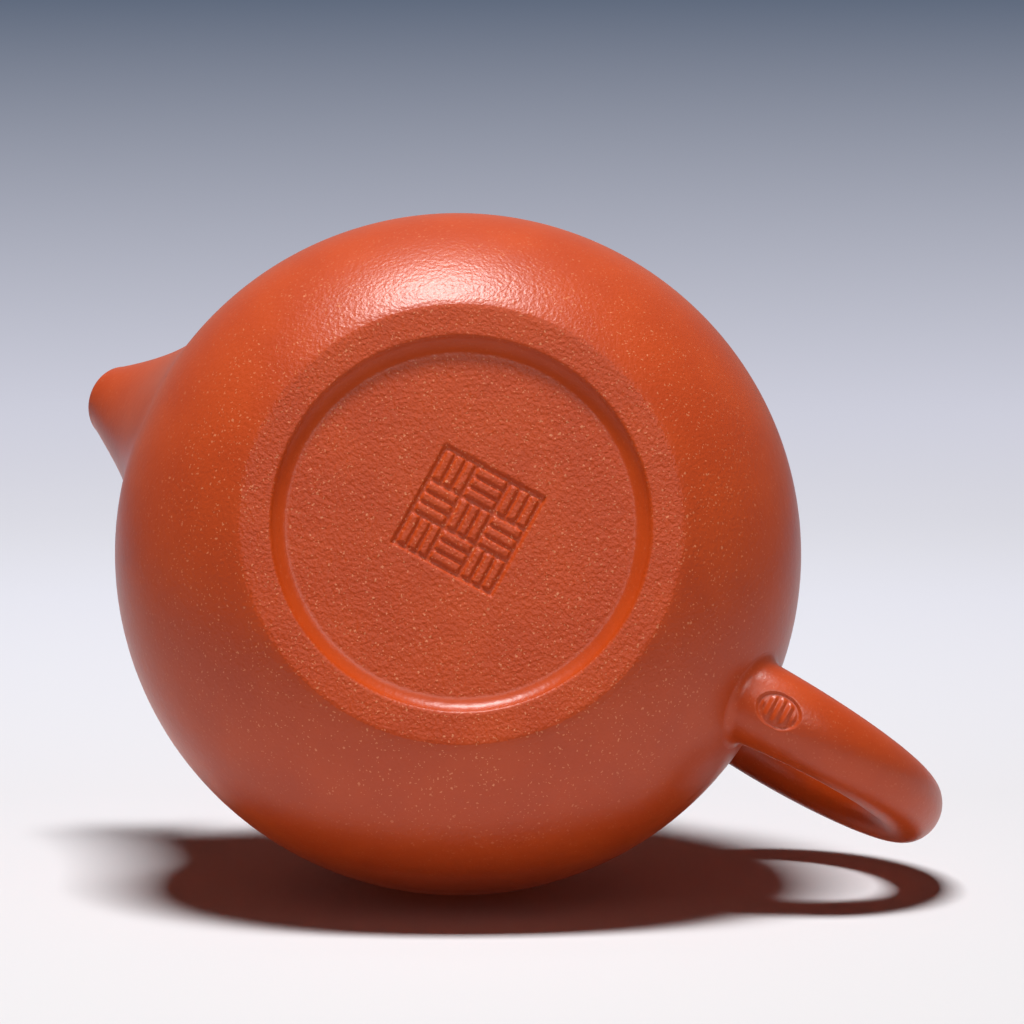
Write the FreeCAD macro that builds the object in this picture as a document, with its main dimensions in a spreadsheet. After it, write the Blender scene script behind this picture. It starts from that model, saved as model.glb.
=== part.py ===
"""Round clay teapot of luted pieces, with a ball strainer behind the spout and a lid that lifts off.

Millimetres, +Z up. The origin is the centre of the foot ring. The handle points to +Y, the spout to -Y.
"""

import FreeCAD, Part
import math
import os
from types import SimpleNamespace

import Sketcher

SIZES = {
    # Outside of the pot
    "belly_radius": 42.0,
    "belly_height": 21.5,
    "hip_lift": 1.5,
    "underside_radius": 33.0,
    "foot_radius": 26.5,
    "rim_land": 1.3,
    "rim_band": 1.0,
    "mouth_height": 52.0,
    "shoulder_depth": 4.5,
    "seam_chamfer": 0.3,
    "wall": 3.0,
    # Base
    "base_height": 5.0,
    "foot_ring_width": 3.9,
    "recess_depth": 1.2,
    "recess_round": 1.6,
    "stamp_side": 13.5,
    "stamp_depth": 0.4,
    "stamp_groove": 0.55,
    # Mouth
    "mouth_radius": 22.6,
    "mouth_ring_wall": 2.6,
    "mouth_ring_depth": 4.5,
    # Lid
    "lid_band": 1.2,
    "lid_rise": 8.2,
    "lid_wall": 3.0,
    "lid_clearance": 0.3,
    "flange_wall": 2.4,
    "flange_depth": 6.5,
    "vent_radius": 1.0,
    "knob_radius": 5.6,
    "knob_sink": 1.2,
    "knob_neck_radius": 4.0,
    "knob_foot_radius": 5.2,
    "knob_neck_round": 2.0,
    # Spout
    "spout_overhang": 7.6,
    "spout_tip_drop": 3.0,
    "spout_slope": 46.0,
    "spout_tip_radius": 4.6,
    "spout_flare_across": 0.48,
    "spout_flare_up": 0.2,
    "spout_length": 34.0,
    "spout_lip_round": 0.9,
    "spout_bore_radius": 2.9,
    "spout_blend": 13.0,
    "pour_radius": 6.4,
    "strainer_wall": 1.5,
    "strainer_inset": 5.8,
    "strainer_hole_radius": 0.65,
    # Handle
    "grip_overhang": 4.1,
    "grip_lift": 8.3,
    "grip_depth": 17.6,
    "grip_rise": 16.7,
    "grip_width": 8.4,
    "grip_flattening": 0.9,
    "low_root_width": 10.8,
    "low_root_flattening": 1.2,
    "top_root_width": 7.2,
    "top_root_flattening": 0.8,
    "grip_blend": 2.4,
}

START, END, CENTRE = range(1, 4)
FLAT_AXIS, UP_AXIS = -1, -2
UP = FreeCAD.Vector(0, 0, 1)

STAMP_CELLS = 3
STAMP_BARS = 3
STRAINER_RINGS = ((0.40, 6), (0.78, 12))
GRIP_STATIONS = (-145, -128, -112, -90, -60, -30, 0, 30, 60, 90, 118, 140, 155)
GRIP_ROOT_STATION = 112
TOUCHING = 1e-4


class Size:
    """A length with its sheet expression: geometry starts at the number and stays bound to the sheet."""

    def __init__(self, number, text):
        self.number = float(number)
        self.text = text

    def __add__(self, other):
        return Size(self.number + other.number, f"({self.text} + {other.text})")

    def __sub__(self, other):
        return Size(self.number - other.number, f"({self.text} - {other.text})")

    def __mul__(self, other):
        if isinstance(other, Size):
            return Size(self.number * other.number, f"({self.text} * {other.text})")
        return Size(self.number * other, f"({self.text} * {other!r})")


ZERO = Size(0, "0")


class Outline:
    """A closed outline in a sketch on the body's own XZ plane: sketch x is radius, sketch y is height."""

    def __init__(self, body):
        plane = origin_plane(body, "XZ_Plane")
        self.sketch = body.newObject("Sketcher::SketchObject", "outline")
        self.sketch.AttachmentSupport = [(plane, "")]
        self.sketch.MapMode = "FlatFace"

    def line(self, start, end):
        segment = Part.LineSegment(point(*start), point(*end))
        return self.sketch.addGeometry(segment, False)

    def arc(self, centre, start, end):
        """Add the arc that runs counter-clockwise from start to end."""
        first = angle_from(centre, start)
        last = angle_from(centre, end)
        circle = Part.Circle(point(*centre), UP, math.dist(centre, start))
        return self.sketch.addGeometry(Part.ArcOfCircle(circle, first, last), False)

    def mark(self, across, up):
        """Add a construction point bound to the sheet."""
        spot = self.sketch.addGeometry(Part.Point(point(across.number, up.number)), True)
        self.place(spot, START, across, up)
        return spot

    def rule(self, kind, *references):
        self.sketch.addConstraint(Sketcher.Constraint(kind, *references))

    def bind(self, kind, references, size):
        constraint = Sketcher.Constraint(kind, *references, size.number)
        index = self.sketch.addConstraint(constraint)
        self.sketch.setExpression(f"Constraints[{index}]", size.text)

    def place(self, edge, end, across=None, up=None):
        """Bind a point's radius, its height or both to the sheet."""
        if across is ZERO:
            self.rule("PointOnObject", edge, end, UP_AXIS)
        elif across is not None:
            self.bind("DistanceX", (FLAT_AXIS, START, edge, end), across)
        if up is ZERO:
            self.rule("PointOnObject", edge, end, FLAT_AXIS)
        elif up is not None:
            self.bind("DistanceY", (FLAT_AXIS, START, edge, end), up)

    def join(self, first, first_end, second, second_end):
        self.rule("Coincident", first, first_end, second, second_end)

    def smooth(self, first, first_end, second, second_end):
        self.rule("Tangent", first, first_end, second, second_end)

    def polyline(self, corners):
        """Add straight lines through corners given as pairs of sizes, and return the lines.

        The first and the last corner only start the solver off, because each is joined to another edge.
        """
        lines = []
        for start, end in zip(corners, corners[1:]):
            lines.append(self.line(numbers(start), numbers(end)))
        for first, second, corner in zip(lines, lines[1:], corners[1:]):
            self.join(first, END, second, START)
            self.place(second, START, *corner)
        return lines

    def polygon(self, corners):
        """Add a closed outline of straight lines whose corners are all bound to the sheet."""
        lines = self.polyline([*corners, corners[0]])
        self.join(lines[-1], END, lines[0], START)
        self.place(lines[0], START, *corners[0])

    def inset(self, edge, depth):
        """Add an arc inside another arc, on the same centre and between the same angles."""
        outside = self.sketch.Geometry[edge]
        circle = Part.Circle(outside.Center, UP, outside.Radius - depth.number)
        curve = Part.ArcOfCircle(circle, outside.FirstParameter, outside.LastParameter)
        arc = self.sketch.addGeometry(curve, False)
        self.rule("Coincident", arc, CENTRE, edge, CENTRE)
        return arc

    def close(self, lines, first, first_end, second, second_end):
        """Join the two free ends of a polyline to edges."""
        self.join(lines[0], START, first, first_end)
        self.join(lines[-1], END, second, second_end)


def point(across, up):
    return FreeCAD.Vector(across, up, 0)


def numbers(sizes):
    return tuple(size.number for size in sizes)


def angle_from(centre, spot):
    return math.atan2(spot[1] - centre[1], spot[0] - centre[0])


def origin_plane(body, role):
    return next(feature for feature in body.Origin.OriginFeatures if feature.Role == role)


def bind(item, sizes):
    """Bind properties of an object to sheet expressions."""
    for name, size in sizes.items():
        item.setExpression(name, size.text)


def make_sheet(doc):
    """Write the driving sizes to a sheet, and return them with the sizes that follow from them."""
    sheet = doc.addObject("Spreadsheet::Sheet", "dims")
    for row, (name, value) in enumerate(SIZES.items(), start=1):
        sheet.set(f"A{row}", name)
        sheet.set(f"B{row}", str(value))
        sheet.setAlias(f"B{row}", name)
    doc.recompute()
    size = SimpleNamespace(**{name: Size(sheet.get(name), f"dims.{name}") for name in SIZES})
    size.hip_radius = size.belly_height - size.hip_lift
    size.recess_radius = size.foot_radius - size.foot_ring_width
    size.rim_radius = size.mouth_radius + size.mouth_ring_wall + size.rim_land
    size.seam_height = size.mouth_height - size.shoulder_depth
    size.spout_reach = size.belly_radius + size.spout_overhang
    size.spout_tip_height = size.mouth_height - size.spout_tip_drop
    size.grip_reach = size.belly_radius + size.grip_overhang
    size.grip_height = size.belly_height + size.grip_lift
    return size


def make_body(doc, label):
    body = doc.addObject("PartDesign::Body", label)
    body.Label = label
    return body


def revolve(doc, body, outline):
    """Turn a closed outline once round the body's own Z axis."""
    turned = body.newObject("PartDesign::Revolution", "turned")
    turned.Profile = outline.sketch
    turned.ReferenceAxis = (outline.sketch, ["V_Axis"])
    turned.Angle = 360
    doc.recompute()
    return turned


def combine(doc, kind, label, base, tool):
    result = doc.addObject(kind, label)
    result.Label = label
    result.Base = base
    result.Tool = tool
    doc.recompute()
    return result


def aim_along_spout(item, size, start):
    """Put an item's own Z axis on the spout's axis, pointing into the pot, a distance in from the tip."""
    slope = math.radians(size.spout_slope.number)
    slope_text = f"({size.spout_slope.text} * 1 deg)"
    item.Placement = FreeCAD.Placement(FreeCAD.Vector(), FreeCAD.Rotation(FreeCAD.Vector(-1, 0, 0), 90))
    across = start * Size(math.cos(slope), f"cos({slope_text})")
    down = start * Size(math.sin(slope), f"sin({slope_text})")
    bind(item, {"Placement.Base.y": across - size.spout_reach,
                "Placement.Base.z": size.spout_tip_height - down})
    item.setExpression("Placement.Rotation.Angle", f"90 deg + {slope_text}")


def shoulder_arc(outline, size, low, high):
    """Add the arc of the upper wall between two heights: upright at the belly, and ending at the rim."""
    rim_low = size.mouth_height - size.rim_band
    inset = size.belly_radius.number - size.rim_radius.number
    climb = rim_low.number - size.belly_height.number
    radius = (inset ** 2 + climb ** 2) / (2 * inset)
    centre = (size.belly_radius.number - radius, size.belly_height.number)
    ends = []
    for height in (low, high):
        rise = height.number - centre[1]
        ends.append((centre[0] + math.sqrt(radius ** 2 - rise ** 2), height.number))
    arc = outline.arc(centre, ends[0], ends[1])
    outline.place(arc, CENTRE, up=size.belly_height)
    belly = outline.mark(size.belly_radius, size.belly_height)
    rim = outline.mark(size.rim_radius, rim_low)
    outline.rule("PointOnObject", belly, START, arc)
    outline.rule("PointOnObject", rim, START, arc)
    outline.place(arc, START, up=low)
    outline.place(arc, END, up=high)
    return arc


def lower_arcs(outline, size, shoulder):
    """Add the arcs of the lower wall, from the foot ring up to the start of the shoulder arc."""
    belly = numbers((size.belly_radius, size.belly_height))
    foot = numbers((size.foot_radius, ZERO))
    hip_centre = (belly[0] - size.hip_radius.number, belly[1])
    under_centre = min(circle_centres(hip_centre, size.underside_radius.number - size.hip_radius.number,
                                      foot, size.underside_radius.number))
    turn = angle_from(under_centre, hip_centre)
    joint = (hip_centre[0] + size.hip_radius.number * math.cos(turn),
             hip_centre[1] + size.hip_radius.number * math.sin(turn))
    hip = outline.arc(hip_centre, joint, belly)
    under = outline.arc(under_centre, foot, joint)
    outline.join(hip, END, shoulder, START)
    outline.place(hip, CENTRE, up=size.belly_height)
    outline.bind("Radius", (hip,), size.hip_radius)
    outline.smooth(under, END, hip, START)
    outline.bind("Radius", (under,), size.underside_radius)
    outline.place(under, START, size.foot_radius, ZERO)
    return under, hip


def circle_centres(first, first_distance, second, second_distance):
    """Return the two points at given distances from two points."""
    span = math.dist(first, second)
    along = (first_distance ** 2 - second_distance ** 2 + span ** 2) / (2 * span)
    aside = math.sqrt(first_distance ** 2 - along ** 2)
    step = ((second[0] - first[0]) / span, (second[1] - first[1]) / span)
    sides = []
    for sign in (1, -1):
        sides.append((first[0] + along * step[0] - sign * aside * step[1],
                      first[1] + along * step[1] + sign * aside * step[0]))
    return sides


def dome_arc(outline, size, depth, inner, outer):
    """Add an arc of the lid's dome, a given depth under its outside.

    The arc runs counter-clockwise, so it starts at the outer end. Each end is a radius and a height, and one
    of the two is None.
    """
    top = size.mouth_height + size.lid_band + size.lid_rise
    radius = (size.rim_radius.number ** 2 + size.lid_rise.number ** 2) / (2 * size.lid_rise.number)
    centre = (0, top.number - radius)
    radius -= depth.number
    ends = []
    for across, up in (outer, inner):
        if up is None:
            spot = (across.number, centre[1] + math.sqrt(radius ** 2 - across.number ** 2))
        else:
            spot = (math.sqrt(radius ** 2 - (up.number - centre[1]) ** 2), up.number)
        ends.append(spot)
    arc = outline.arc(centre, ends[0], ends[1])
    edge = top - size.lid_rise
    outside = outline.arc(centre, numbers((size.rim_radius, edge)), (0, top.number))
    outline.sketch.setConstruction(outside, True)
    outline.place(outside, CENTRE, across=ZERO)
    outline.place(outside, START, size.rim_radius, edge)
    outline.place(outside, END, ZERO, top)
    outline.rule("Coincident", arc, CENTRE, outside, CENTRE)
    crown = outline.mark(ZERO, top - depth)
    outline.rule("PointOnObject", crown, START, arc)
    outline.place(arc, START, *outer)
    outline.place(arc, END, *inner)
    return arc


def make_pot_form(doc, size):
    """The solid outside of the pot below its mouth, which trims what is luted on to it."""
    body = make_body(doc, "pot_form")
    outline = Outline(body)
    rim_low = size.mouth_height - size.rim_band
    shoulder = shoulder_arc(outline, size, size.belly_height, rim_low)
    under, _ = lower_arcs(outline, size, shoulder)
    edges = outline.polyline([(size.rim_radius, rim_low), (size.rim_radius, size.mouth_height),
                              (ZERO, size.mouth_height), (ZERO, ZERO), (size.foot_radius, ZERO)])
    outline.close(edges, shoulder, END, under, START)
    revolve(doc, body, outline)
    return body


def make_body_wall(doc, size):
    """The round wall from the base seam to the shoulder seam, with the pour hole behind the spout."""
    body = make_body(doc, "wall_blank")
    outline = Outline(body)
    shoulder = shoulder_arc(outline, size, size.belly_height, size.seam_height)
    under, hip = lower_arcs(outline, size, shoulder)
    inner_shoulder = outline.inset(shoulder, size.wall)
    inner_hip = outline.inset(hip, size.wall)
    inner_under = outline.inset(under, size.wall)
    outline.place(inner_shoulder, START, size.belly_radius - size.wall, size.belly_height)
    outline.place(inner_shoulder, END, up=size.seam_height)
    outline.join(inner_hip, END, inner_shoulder, START)
    outline.smooth(inner_under, END, inner_hip, START)
    outline.place(inner_under, START, across=size.foot_radius)
    for outside, inside, end in ((shoulder, inner_shoulder, END), (under, inner_under, START)):
        ends = [outline.sketch.getPoint(edge, end) for edge in (outside, inside)]
        seam = outline.line(*[(spot.x, spot.y) for spot in ends])
        outline.join(seam, START, outside, end)
        outline.join(seam, END, inside, end)
    revolve(doc, body, outline)
    hole = doc.addObject("Part::Cylinder", "pour_hole")
    aim_along_spout(hole, size, ZERO)
    bind(hole, {"Radius": size.pour_radius, "Height": size.spout_length})
    return combine(doc, "Part::Cut", "body_wall", body, hole)


def make_base_disc(doc, size):
    """The base slab: a flat foot ring round a pressed-in panel, with a stamped square in the middle."""
    body = make_body(doc, "base_blank")
    outline = Outline(body)
    bend = size.recess_round.number
    turn = math.acos(1 - size.recess_depth.number / (2 * bend))
    edge_centre = (size.recess_radius.number, bend)
    meeting = (edge_centre[0] - bend * math.sin(turn), bend - bend * math.cos(turn))
    floor_centre = (2 * meeting[0] - edge_centre[0], 2 * meeting[1] - edge_centre[1])
    floor_end = (floor_centre[0], size.recess_depth.number)
    edge = outline.arc(edge_centre, meeting, (edge_centre[0], 0))
    floor = outline.arc(floor_centre, meeting, floor_end)
    for arc in (edge, floor):
        outline.bind("Radius", (arc,), size.recess_round)
    outline.place(edge, CENTRE, across=size.recess_radius)
    outline.place(edge, END, size.recess_radius, ZERO)
    outline.place(floor, END, up=size.recess_depth)
    outline.rule("Vertical", floor, CENTRE, floor, END)
    outline.smooth(edge, START, floor, START)
    edges = outline.polyline([(Size(floor_end[0], ""), size.recess_depth), (ZERO, size.recess_depth),
                              (ZERO, size.base_height), (size.foot_radius, size.base_height),
                              (size.foot_radius, ZERO), (size.recess_radius, ZERO)])
    outline.close(edges, floor, END, edge, END)
    revolve(doc, body, outline)
    return combine(doc, "Part::Cut", "base_disc", body, make_stamp(doc, size))


def make_stamp(doc, size):
    """The stamp's hollow: a sunk square less a basket weave of raised bars."""
    groove = size.stamp_groove
    pitch = (size.stamp_side - groove) * (1 / STAMP_CELLS)
    length = pitch - groove
    step = pitch * (1 / STAMP_BARS)
    corner = size.stamp_side * -0.5
    field = make_stamp_box(doc, size, "stamp_field", [corner] * 2, [size.stamp_side] * 2)
    bars = []
    for column in range(STAMP_CELLS):
        for row in range(STAMP_CELLS):
            for number in range(STAMP_BARS):
                along = step * number
                start = [corner + groove + pitch * column, corner + groove + pitch * row]
                sides = [length, step - groove]
                if (column + row) % 2:
                    sides.reverse()
                    start[0] = start[0] + along
                else:
                    start[1] = start[1] + along
                bars.append(make_stamp_box(doc, size, "stamp_bar", start, sides))
    weave = doc.addObject("Part::MultiFuse", "stamp_weave")
    weave.Shapes = bars
    return combine(doc, "Part::Cut", "stamp", field, weave)


def make_stamp_box(doc, size, name, start, sides):
    """A box that reaches as far below the panel as the stamp goes into it."""
    box = doc.addObject("Part::Box", name)
    bind(box, {"Length": sides[0], "Width": sides[1], "Height": size.stamp_depth * 2,
               "Placement.Base.x": start[0], "Placement.Base.y": start[1],
               "Placement.Base.z": size.recess_depth - size.stamp_depth})
    return box


def make_shoulder_disc(doc, size):
    """The ring-shaped slab between the wall and the mouth ring, with a short upright band at its rim."""
    body = make_body(doc, "shoulder_disc")
    outline = Outline(body)
    rim_low = size.mouth_height - size.rim_band
    bore = size.mouth_radius + size.mouth_ring_wall
    arc = shoulder_arc(outline, size, size.seam_height, rim_low)
    edges = outline.polyline([(size.rim_radius, rim_low),
                              (size.rim_radius, size.mouth_height - size.seam_chamfer),
                              (size.rim_radius - size.seam_chamfer, size.mouth_height),
                              (bore, size.mouth_height), (bore, size.seam_height),
                              (size.belly_radius, size.seam_height)])
    outline.close(edges, arc, END, arc, START)
    revolve(doc, body, outline)
    return body


def make_mouth_ring(doc, size):
    """The band that lines the mouth inside the shoulder, flush with the rim."""
    body = make_body(doc, "mouth_ring")
    outline = Outline(body)
    outside = size.mouth_radius + size.mouth_ring_wall
    low = size.mouth_height - size.mouth_ring_depth
    outline.polygon([(size.mouth_radius, low), (outside, low), (outside, size.mouth_height),
                     (size.mouth_radius, size.mouth_height)])
    revolve(doc, body, outline)
    return body


def make_lid_disc(doc, size):
    """The domed lid slab: it rests on the rim, and a vent goes through its middle."""
    body = make_body(doc, "lid_disc")
    outline = Outline(body)
    low = size.mouth_height
    edge_top = low + size.lid_band
    outside = dome_arc(outline, size, ZERO, (size.vent_radius, None), (size.rim_radius, None))
    inside = dome_arc(outline, size, size.lid_wall, (size.vent_radius, None), (None, low))
    vent = outline.line(numbers((size.vent_radius, edge_top)), numbers((size.vent_radius, low)))
    outline.join(vent, START, outside, END)
    outline.join(vent, END, inside, END)
    edges = outline.polyline([(size.mouth_radius, low), (size.rim_radius - size.seam_chamfer, low),
                              (size.rim_radius, low + size.seam_chamfer), (size.rim_radius, edge_top)])
    outline.close(edges, inside, START, outside, START)
    revolve(doc, body, outline)
    return body


def make_lid_flange(doc, size):
    """The ring luted under the lid, which drops into the mouth with a running clearance."""
    body = make_body(doc, "lid_flange")
    outline = Outline(body)
    outside = size.mouth_radius - size.lid_clearance
    inside = outside - size.flange_wall
    low = size.mouth_height - size.flange_depth
    seat = dome_arc(outline, size, size.lid_wall, (inside, None), (outside, None))
    edges = outline.polyline([(inside, size.mouth_height), (inside, low),
                              (outside - size.seam_chamfer, low), (outside, low + size.seam_chamfer),
                              (outside, size.mouth_height)])
    outline.close(edges, seat, END, seat, START)
    revolve(doc, body, outline)
    return body


def make_knob(doc, size):
    """The round knob on its short neck, seated on the dome, with the vent right through it."""
    body = make_body(doc, "knob")
    outline = Outline(body)
    centre = (ZERO, size.mouth_height + size.lid_band + size.lid_rise + size.knob_radius - size.knob_sink)
    drop = math.sqrt(size.knob_radius.number ** 2 - size.knob_neck_radius.number ** 2)
    neck_end = (size.knob_neck_radius.number, centre[1].number - drop)
    top = (size.vent_radius.number, centre[1].number + size.knob_radius.number)
    seat = dome_arc(outline, size, ZERO, (size.vent_radius, None), (size.knob_foot_radius, None))
    ball = outline.arc(numbers(centre), neck_end, top)
    outline.place(ball, CENTRE, *centre)
    outline.bind("Radius", (ball,), size.knob_radius)
    outline.place(ball, START, across=size.knob_neck_radius)
    outline.place(ball, END, across=size.vent_radius)
    foot = outline.sketch.getPoint(seat, START)
    bend = size.knob_neck_round.number
    neck_centre = max(circle_centres(neck_end, bend, (foot.x, foot.y), bend))
    neck = outline.arc(neck_centre, neck_end, (foot.x, foot.y))
    outline.bind("Radius", (neck,), size.knob_neck_round)
    outline.join(neck, START, ball, START)
    outline.join(neck, END, seat, START)
    vent = outline.line(top, (top[0], foot.y))
    outline.join(vent, START, ball, END)
    outline.join(vent, END, seat, END)
    revolve(doc, body, outline)
    return body


def make_spout(doc, size, form):
    """The hollow stub spout: round at the tip, broad at the root, and blended into the belly."""
    tip = make_spout_section(doc, size, ZERO)
    core = doc.addObject("Part::Loft", "spout_core")
    core.Sections = [tip, make_spout_section(doc, size, size.spout_length)]
    core.Solid = True
    doc.recompute()
    luted = lute_on(doc, form, core, size.spout_blend)
    lip = round_edges(doc, luted, size.spout_lip_round, meeting_edges(luted, tip))
    bore = doc.addObject("Part::Cone", "spout_bore")
    aim_along_spout(bore, size, ZERO)
    bind(bore, {"Radius1": size.spout_bore_radius, "Radius2": size.pour_radius - size.strainer_wall,
                "Height": size.spout_length})
    return combine(doc, "Part::Cut", "spout", lip, bore)


def make_spout_section(doc, size, distance):
    """An oval across the spout, at a distance from its tip."""
    oval = doc.addObject("Part::Ellipse", "spout_section")
    aim_along_spout(oval, size, distance)
    bind(oval, {"MajorRadius": size.spout_tip_radius + size.spout_flare_across * distance,
                "MinorRadius": size.spout_tip_radius + size.spout_flare_up * distance})
    return oval


def lute_on(doc, form, core, blend):
    """Blend a core into the pot's outside, and return what then stands outside the pot."""
    joined = combine(doc, "Part::Fuse", f"{core.Label}_joined", form, core)
    blended = round_edges(doc, joined, blend, meeting_edges(joined, form, core))
    return combine(doc, "Part::Cut", f"{core.Label}_outside", blended, form)


def round_edges(doc, item, radius, edges):
    """Round numbered edges of an object."""
    rounded = doc.addObject("Part::Fillet", f"{item.Label}_rounded")
    rounded.Base = item
    rounded.Edges = [(number, radius.number, radius.number) for number in edges]
    doc.recompute()
    return rounded


def meeting_edges(item, *others):
    """Return the numbers of an object's edges that lie on the faces or edges of every other object."""
    found = []
    for number, edge in enumerate(item.Shape.Edges, start=1):
        middle = Part.Vertex(edge.valueAt((edge.FirstParameter + edge.LastParameter) / 2))
        skins = [Part.makeCompound(other.Shape.Faces or other.Shape.Edges) for other in others]
        if all(middle.distToShape(skin)[0] < TOUCHING for skin in skins):
            found.append(number)
    return found


def make_ball_strainer(doc, size, form):
    """The pierced thimble behind the spout: its collar lines the pour hole, and its dome faces the tea."""
    body = make_body(doc, "strainer_blank")
    outline = Outline(body)
    slope = math.radians(size.spout_slope.number)
    gap = size.spout_reach - size.belly_radius + size.strainer_inset
    seat = gap * Size(1 / math.cos(slope), f"(1 / cos({size.spout_slope.text} * 1 deg))")
    outside = size.pour_radius
    inside = outside - size.strainer_wall
    domes = []
    for radius in (outside, inside):
        dome = outline.arc((0, seat.number), numbers((radius, seat)), (0, seat.number + radius.number))
        outline.place(dome, CENTRE, ZERO, seat)
        outline.place(dome, START, radius, seat)
        outline.place(dome, END, across=ZERO)
        domes.append(dome)
    axis = outline.line((0, seat.number + outside.number), (0, seat.number + inside.number))
    outline.join(axis, START, domes[0], END)
    outline.join(axis, END, domes[1], END)
    edges = outline.polyline([(inside, seat), (inside, ZERO), (outside, ZERO), (outside, seat)])
    outline.close(edges, domes[1], START, domes[0], START)
    aim_along_spout(body, size, ZERO)
    revolve(doc, body, outline)
    pierce(doc, body, size, ZERO, 1)
    for share, count in STRAINER_RINGS:
        pierce(doc, body, size, inside * share, count)
    return combine(doc, "Part::Common", "ball_strainer", body, form)


def pierce(doc, body, size, ring, count):
    """Pierce a ring of round holes right along the body's own Z axis."""
    plane = origin_plane(body, "XY_Plane")
    sketch = body.newObject("Sketcher::SketchObject", "holes")
    sketch.AttachmentSupport = [(plane, "")]
    sketch.MapMode = "FlatFace"
    bore = size.strainer_hole_radius
    hole = sketch.addGeometry(Part.Circle(point(ring.number, 0), UP, bore.number), False)
    radius = sketch.addConstraint(Sketcher.Constraint("Radius", hole, bore.number))
    sketch.setExpression(f"Constraints[{radius}]", bore.text)
    sketch.addConstraint(Sketcher.Constraint("PointOnObject", hole, CENTRE, FLAT_AXIS))
    if ring is ZERO:
        sketch.addConstraint(Sketcher.Constraint("PointOnObject", hole, CENTRE, UP_AXIS))
    else:
        offset = Sketcher.Constraint("DistanceX", FLAT_AXIS, START, hole, CENTRE, ring.number)
        sketch.setExpression(f"Constraints[{sketch.addConstraint(offset)}]", ring.text)
    whole = body.Shape.Volume
    pocket = body.newObject("PartDesign::Pocket", "pierced")
    pocket.Profile = sketch
    pocket.Type = "ThroughAll"
    pocket.Reversed = True
    doc.recompute()
    if body.Shape.Volume >= whole:
        raise RuntimeError("a strainer hole cuts nothing")
    if count > 1:
        pattern = body.newObject("PartDesign::PolarPattern", "pierced_ring")
        pattern.Originals = [pocket]
        pattern.Axis = (sketch, ["N_Axis"])
        pattern.Angle = 360
        pattern.Occurrences = count
        body.Tip = pattern
        doc.recompute()


def make_handle(doc, size, form):
    """The rolled ear handle: oval sections along a loop, with both roots blended into the belly."""
    core = doc.addObject("Part::Loft", "grip_core")
    core.Sections = [make_grip_section(doc, size, station) for station in GRIP_STATIONS]
    core.Solid = True
    doc.recompute()
    handle = lute_on(doc, form, core, size.grip_blend)
    handle.Label = "handle"
    return handle


def make_grip_section(doc, size, station):
    """An oval across the loop at a station, in degrees up from the loop's outermost point."""
    if station < 0:
        sign, root_width, root_flattening = -1, size.low_root_width, size.low_root_flattening
    else:
        sign, root_width, root_flattening = 1, size.top_root_width, size.top_root_flattening
    share = (station / GRIP_ROOT_STATION) ** 2
    width = size.grip_width + (root_width - size.grip_width) * share
    flattening = size.grip_flattening + (root_flattening - size.grip_flattening) * share
    oval = doc.addObject("Part::Ellipse", "grip_section")
    turn = FreeCAD.Rotation(FreeCAD.Vector(sign, 0, 0), abs(station))
    oval.Placement = FreeCAD.Placement(FreeCAD.Vector(), turn)
    bind(oval, {"MajorRadius": width * 0.5, "MinorRadius": (width - flattening) * 0.5})
    depth = size.grip_depth.text
    rise = size.grip_rise.text
    angle = f"({abs(station)} * 1 deg)"
    turned = f"atan2({depth} * sin({angle}); {rise} * cos({angle}))"
    oval.setExpression("Placement.Base.y", f"{size.grip_reach.text} + {depth} * cos({angle})")
    oval.setExpression("Placement.Base.z", f"{size.grip_height.text} + {sign} * {rise} * sin({angle})")
    oval.setExpression("Placement.Rotation.Angle", turned)
    return oval


def check(doc, pieces):
    """Stop if an object failed or a piece isn't one valid solid."""
    for item in doc.Objects:
        if {"Invalid", "Error"} & set(item.State):
            raise RuntimeError(f"{item.Label} failed: {item.State}")
    for piece in pieces:
        if piece.Shape.isNull() or not piece.Shape.isValid() or len(piece.Shape.Solids) != 1:
            raise RuntimeError(f"{piece.Label} is not one valid solid")


def main():
    doc = FreeCAD.newDocument("teapot")
    size = make_sheet(doc)
    form = make_pot_form(doc, size)
    pieces = [
        make_body_wall(doc, size),
        make_base_disc(doc, size),
        make_shoulder_disc(doc, size),
        make_mouth_ring(doc, size),
        make_spout(doc, size, form),
        make_ball_strainer(doc, size, form),
        make_handle(doc, size, form),
        make_lid_disc(doc, size),
        make_lid_flange(doc, size),
        make_knob(doc, size),
    ]
    doc.recompute()
    check(doc, pieces)
    os.makedirs("parts", exist_ok=True)
    for piece in pieces:
        piece.Shape.exportStep(f"parts/{piece.Label}.step")
        print(f"{piece.Label}: {piece.Shape.Volume:.1f} mm3")


if __name__ == "__main__":
    main()
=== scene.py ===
"""Dress the round clay teapot: clay pieces and finishes, a pale table with painted light in its colour and a
painted far glow, studio light and the camera.
"""

import logging
import math
from collections.abc import Callable, Iterator, Sequence
from contextlib import contextmanager
from dataclasses import dataclass, field
from enum import Enum

import bpy
from mathutils import Matrix, Vector


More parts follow.
